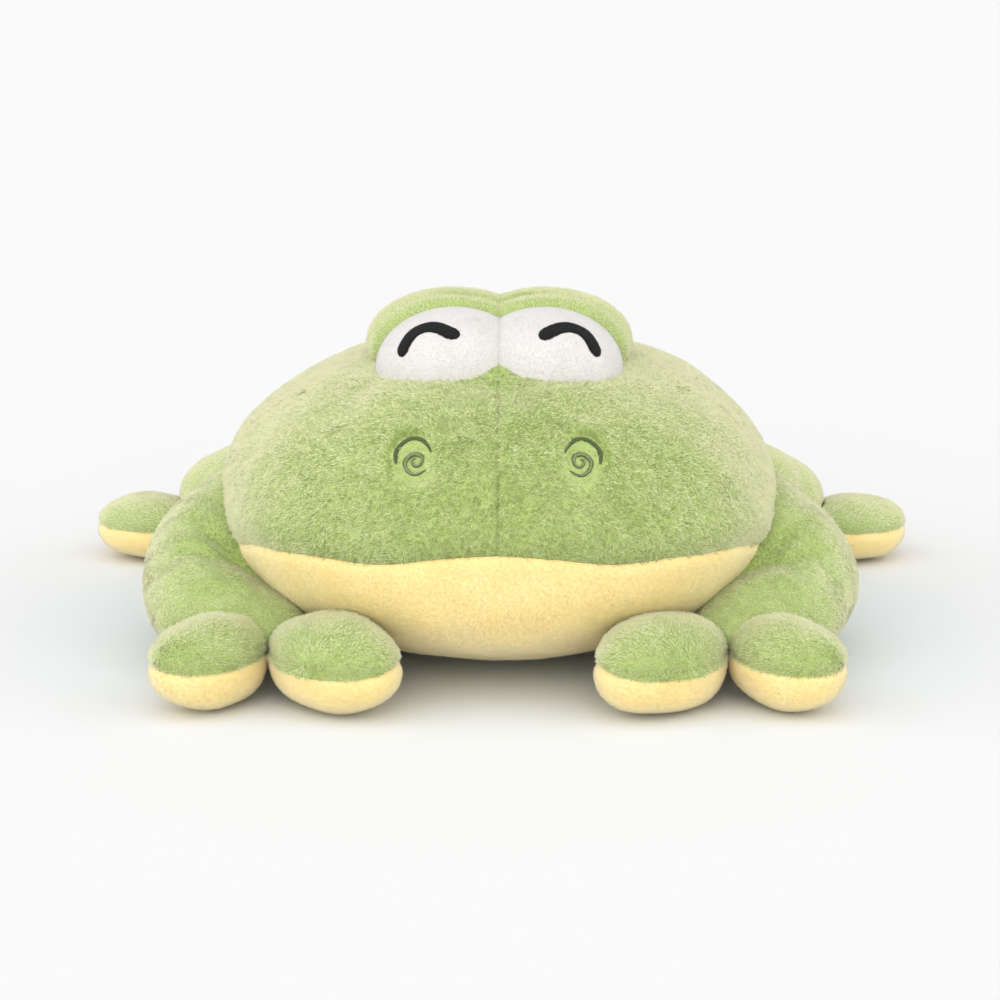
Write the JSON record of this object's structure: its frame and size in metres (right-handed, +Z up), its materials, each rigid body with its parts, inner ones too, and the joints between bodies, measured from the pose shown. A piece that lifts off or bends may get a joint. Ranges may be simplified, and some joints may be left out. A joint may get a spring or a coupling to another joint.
{
  "type": "plush frog",
  "caption": "Plush frog that lies low on its belly, with bulging hooded eyes, stitched smiling-eye arcs, a pale chin and belly, and limbs that swing at their root seams.",
  "frame": {"origin": "middle of the flat patch that the belly rests on, under the widest part of the body", "axes": "+Z up, the face looks along -Y, and the frog's own left is +X"},
  "size_m": [0.5324, 0.4491, 0.2142],
  "materials": {
    "green_pile": "short brushed polyester pile, combed, paler where the tips catch light",
    "yellow_pile": "short brushed polyester pile",
    "white_nap": "very short velvety nap",
    "black_thread": "satin stitch in rayon thread",
    "green_thread": "run stitch in rayon thread",
    "wadding": "loose polyester fibre"
  },
  "bodies": {
    "body": {"back_left_skin": "green_pile", "back_right_skin": "green_pile", "belly_skin": "yellow_pile", "body_stuffing": "wadding", "left_eye_white": "white_nap", "left_eye_stuffing": "wadding", "left_eye_hood": "green_pile", "left_eye_smile": "black_thread", "left_nostril_spiral": "green_thread", "left_nostril_brow": "green_thread", "right_eye_white": "white_nap", "right_eye_stuffing": "wadding", "right_eye_hood": "green_pile", "right_eye_smile": "black_thread", "right_nostril_spiral": "green_thread", "right_nostril_brow": "green_thread"},
    "left_arm": {"left_arm_upper_skin": "green_pile", "left_arm_sole_skin": "yellow_pile", "left_arm_stuffing": "wadding", "left_arm_inner_toe_top_skin": "green_pile", "left_arm_inner_toe_sole_skin": "yellow_pile", "left_arm_inner_toe_stuffing": "wadding", "left_arm_outer_toe_top_skin": "green_pile", "left_arm_outer_toe_sole_skin": "yellow_pile", "left_arm_outer_toe_stuffing": "wadding"},
    "right_arm": {"right_arm_upper_skin": "green_pile", "right_arm_sole_skin": "yellow_pile", "right_arm_stuffing": "wadding", "right_arm_inner_toe_top_skin": "green_pile", "right_arm_inner_toe_sole_skin": "yellow_pile", "right_arm_inner_toe_stuffing": "wadding", "right_arm_outer_toe_top_skin": "green_pile", "right_arm_outer_toe_sole_skin": "yellow_pile", "right_arm_outer_toe_stuffing": "wadding"},
    "left_leg": {"left_leg_upper_skin": "green_pile", "left_leg_sole_skin": "yellow_pile", "left_leg_stuffing": "wadding", "left_leg_inner_toe_top_skin": "green_pile", "left_leg_inner_toe_sole_skin": "yellow_pile", "left_leg_inner_toe_stuffing": "wadding", "left_leg_outer_toe_top_skin": "green_pile", "left_leg_outer_toe_sole_skin": "yellow_pile", "left_leg_outer_toe_stuffing": "wadding"},
    "right_leg": {"right_leg_upper_skin": "green_pile", "right_leg_sole_skin": "yellow_pile", "right_leg_stuffing": "wadding", "right_leg_inner_toe_top_skin": "green_pile", "right_leg_inner_toe_sole_skin": "yellow_pile", "right_leg_inner_toe_stuffing": "wadding", "right_leg_outer_toe_top_skin": "green_pile", "right_leg_outer_toe_sole_skin": "yellow_pile", "right_leg_outer_toe_stuffing": "wadding"}
  },
  "joints": [
    {"name": "left_arm_swing", "type": "hinge", "parent": "body", "child": "left_arm", "pos_m": [0.14362, -0.0222, 0.108], "axis": [-0.6, -0.8, 0], "range_deg": [0, 45], "stiffness_Nm_per_rad": 0.5},
    {"name": "right_arm_swing", "type": "hinge", "parent": "body", "child": "right_arm", "pos_m": [-0.14362, -0.0222, 0.108], "axis": [-0.6, 0.8, 0], "range_deg": [0, 45], "stiffness_Nm_per_rad": 0.5},
    {"name": "left_leg_swing", "type": "hinge", "parent": "body", "child": "left_leg", "pos_m": [0.11022, 0.111, 0.093], "axis": [0.6, -0.8, 0], "range_deg": [0, 40], "stiffness_Nm_per_rad": 0.5},
    {"name": "right_leg_swing", "type": "hinge", "parent": "body", "child": "right_leg", "pos_m": [-0.11022, 0.111, 0.093], "axis": [0.6, 0.8, 0], "range_deg": [0, 40], "stiffness_Nm_per_rad": 0.5}
  ]
}
